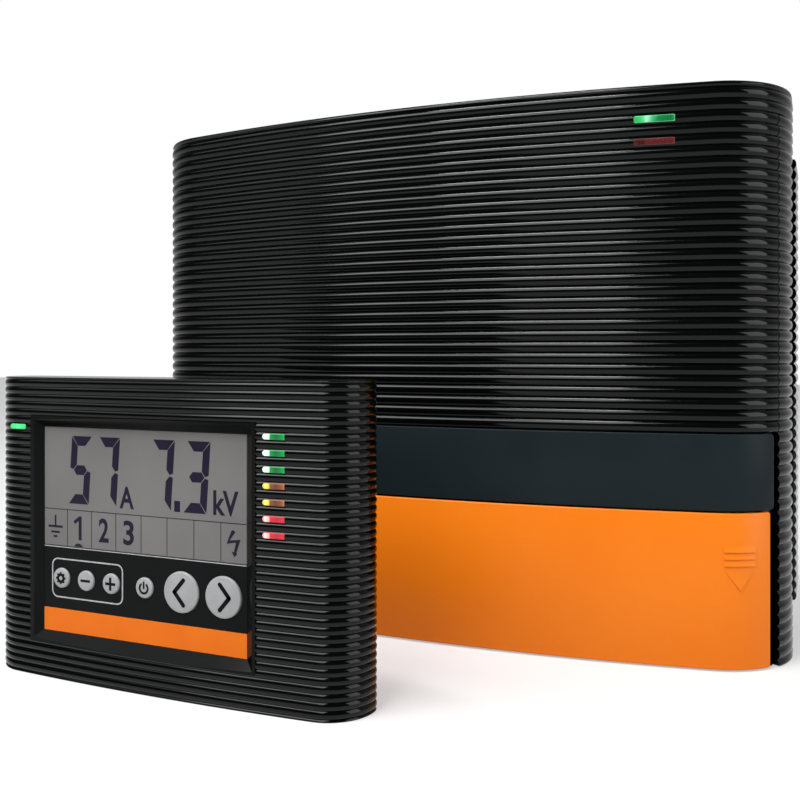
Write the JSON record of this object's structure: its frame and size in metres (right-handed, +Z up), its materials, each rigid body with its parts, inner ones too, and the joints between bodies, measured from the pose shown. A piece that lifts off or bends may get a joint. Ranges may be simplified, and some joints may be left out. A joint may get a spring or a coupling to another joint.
{
  "type": "fence energizer",
  "caption": "Mains fence energizer in a bowed ribbed case with a sliding terminal cover and wire clamp knobs, and its separate display controller with push buttons.",
  "frame": {"origin": "middle of the set's footprint, on the floor that it stands on", "axes": "+X to the right seen from the front, -Y out of the front, +Z up"},
  "size_m": [0.3226, 0.2156, 0.245],
  "materials": {
    "black_shell": "ribbed, gloss moulded",
    "slate_band": "smooth, satin",
    "orange_cover": "smooth, satin gloss",
    "orange_strip": "printed film",
    "dark_plastic": "fine moulded grain",
    "black_film": "printed film",
    "grey_keys": "satin moulded caps",
    "window": "clear cover sheet",
    "display": "grey segment display",
    "backlight": "diffuser block",
    "green_lens": "tinted light pipe",
    "amber_lens": "tinted light pipe",
    "red_lens": "tinted light pipe",
    "dark_red_lens": "unlit tinted light pipe",
    "red_knob": "moulded grips",
    "green_knob": "moulded grips",
    "black_knob": "moulded grips",
    "brass": "turned",
    "zinc_steel": "zinc plated",
    "seal_rubber": "soft sheet",
    "mat_rubber": "soft mat",
    "board": "coated circuit board",
    "ribbon": "flat cable",
    "lamp": "clear lamp body",
    "lead": "insulated wire",
    "capacitor": "sleeved can",
    "core_steel": "stacked laminations",
    "winding": "varnished copper wire",
    "sink": "extruded"
  },
  "bodies": {
    "energizer": {"front_shell": "black_shell", "mid_shell": "black_shell", "rear_shell": "black_shell", "case_seal": "seal_rubber", "case_screws": "zinc_steel", "fascia_band": "slate_band", "green_light_pipe": "green_lens", "red_light_pipe": "dark_red_lens", "indicator_board": "board", "indicator_lamps": "lamp", "indicator_ribbon": "ribbon", "terminal_tray": "dark_plastic", "fence_post": "brass", "earth_post": "brass", "reference_post": "brass", "terminal_nuts": "brass", "output_leads": "lead", "controller_port": "dark_plastic", "power_inlet": "dark_plastic", "main_board": "board", "board_screws": "zinc_steel", "storage_capacitors": "capacitor", "transformer_core": "core_steel", "transformer_winding": "winding", "charge_transformer": "dark_plastic", "thyristor": "black_film", "heat_sink": "sink"},
    "cover": {"terminal_cover": "orange_cover"},
    "fence_clamp": {"fence_washer": "zinc_steel"},
    "earth_clamp": {"earth_washer": "zinc_steel"},
    "reference_clamp": {"reference_washer": "zinc_steel"},
    "fence_knob": {"fence_knob": "red_knob"},
    "earth_knob": {"earth_knob": "green_knob"},
    "reference_knob": {"reference_knob": "black_knob"},
    "controller": {"controller_front": "black_shell", "controller_back": "black_shell", "display_frame": "dark_plastic", "panel_carrier": "dark_plastic", "keypad_overlay": "black_film", "accent_strip": "orange_strip", "display_window": "window", "display_glass": "display", "backlight": "backlight", "keypad_mat": "mat_rubber", "controller_board": "board", "data_socket": "dark_plastic", "status_light": "green_lens", "green_level_lights": "green_lens", "amber_level_lights": "amber_lens", "red_level_lights": "red_lens", "controller_screws": "zinc_steel"},
    "settings_button": {"settings_button": "grey_keys"},
    "minus_button": {"minus_button": "grey_keys"},
    "plus_button": {"plus_button": "grey_keys"},
    "power_button": {"power_button": "grey_keys"},
    "left_button": {"left_button": "grey_keys"},
    "right_button": {"right_button": "grey_keys"}
  },
  "joints": [
    {"name": "cover_slide", "type": "slide", "parent": "energizer", "child": "cover", "axis": [0, 0, -1], "range_m": [0, 0.07]},
    {"name": "fence_clamp_slide", "type": "slide", "parent": "energizer", "child": "fence_clamp", "axis": [0, -1, 0], "range_m": [0, 0.0021]},
    {"name": "fence_knob_turn", "type": "hinge", "parent": "fence_clamp", "child": "fence_knob", "pos_m": [-0.078, 0.0278, 0.036], "axis": [0, -1, 0], "range_deg": [0, 720]},
    {"name": "earth_clamp_slide", "type": "slide", "parent": "energizer", "child": "earth_clamp", "axis": [0, -1, 0], "range_m": [0, 0.0021]},
    {"name": "earth_knob_turn", "type": "hinge", "parent": "earth_clamp", "child": "earth_knob", "pos_m": [-0.03, 0.0278, 0.036], "axis": [0, -1, 0], "range_deg": [0, 720]},
    {"name": "reference_clamp_slide", "type": "slide", "parent": "energizer", "child": "reference_clamp", "axis": [0, -1, 0], "range_m": [0, 0.0021]},
    {"name": "reference_knob_turn", "type": "hinge", "parent": "reference_clamp", "child": "reference_knob", "pos_m": [0.018, 0.0278, 0.036], "axis": [0, -1, 0], "range_deg": [0, 720]},
    {"name": "controller_lift", "type": "slide", "parent": "energizer", "child": "controller", "axis": [0, 0, 1], "range_m": [0, 0.15]},
    {"name": "settings_press", "type": "slide", "parent": "controller", "child": "settings_button", "axis": [0, 1, 0], "range_m": [0, 0.0008], "stiffness_N_per_m": 1500},
    {"name": "minus_press", "type": "slide", "parent": "controller", "child": "minus_button", "axis": [0, 1, 0], "range_m": [0, 0.0008], "stiffness_N_per_m": 1500},
    {"name": "plus_press", "type": "slide", "parent": "controller", "child": "plus_button", "axis": [0, 1, 0], "range_m": [0, 0.0008], "stiffness_N_per_m": 1500},
    {"name": "power_press", "type": "slide", "parent": "controller", "child": "power_button", "axis": [0, 1, 0], "range_m": [0, 0.0008], "stiffness_N_per_m": 1500},
    {"name": "left_press", "type": "slide", "parent": "controller", "child": "left_button", "axis": [0, 1, 0], "range_m": [0, 0.0008], "stiffness_N_per_m": 1500},
    {"name": "right_press", "type": "slide", "parent": "controller", "child": "right_button", "axis": [0, 1, 0], "range_m": [0, 0.0008], "stiffness_N_per_m": 1500}
  ],
  "couplings": [
    {"joint": "fence_clamp_slide", "follows": "fence_knob_turn", "m_per_rad": 0.00015915},
    {"joint": "earth_clamp_slide", "follows": "earth_knob_turn", "m_per_rad": 0.00015915},
    {"joint": "reference_clamp_slide", "follows": "reference_knob_turn", "m_per_rad": 0.00015915}
  ]
}
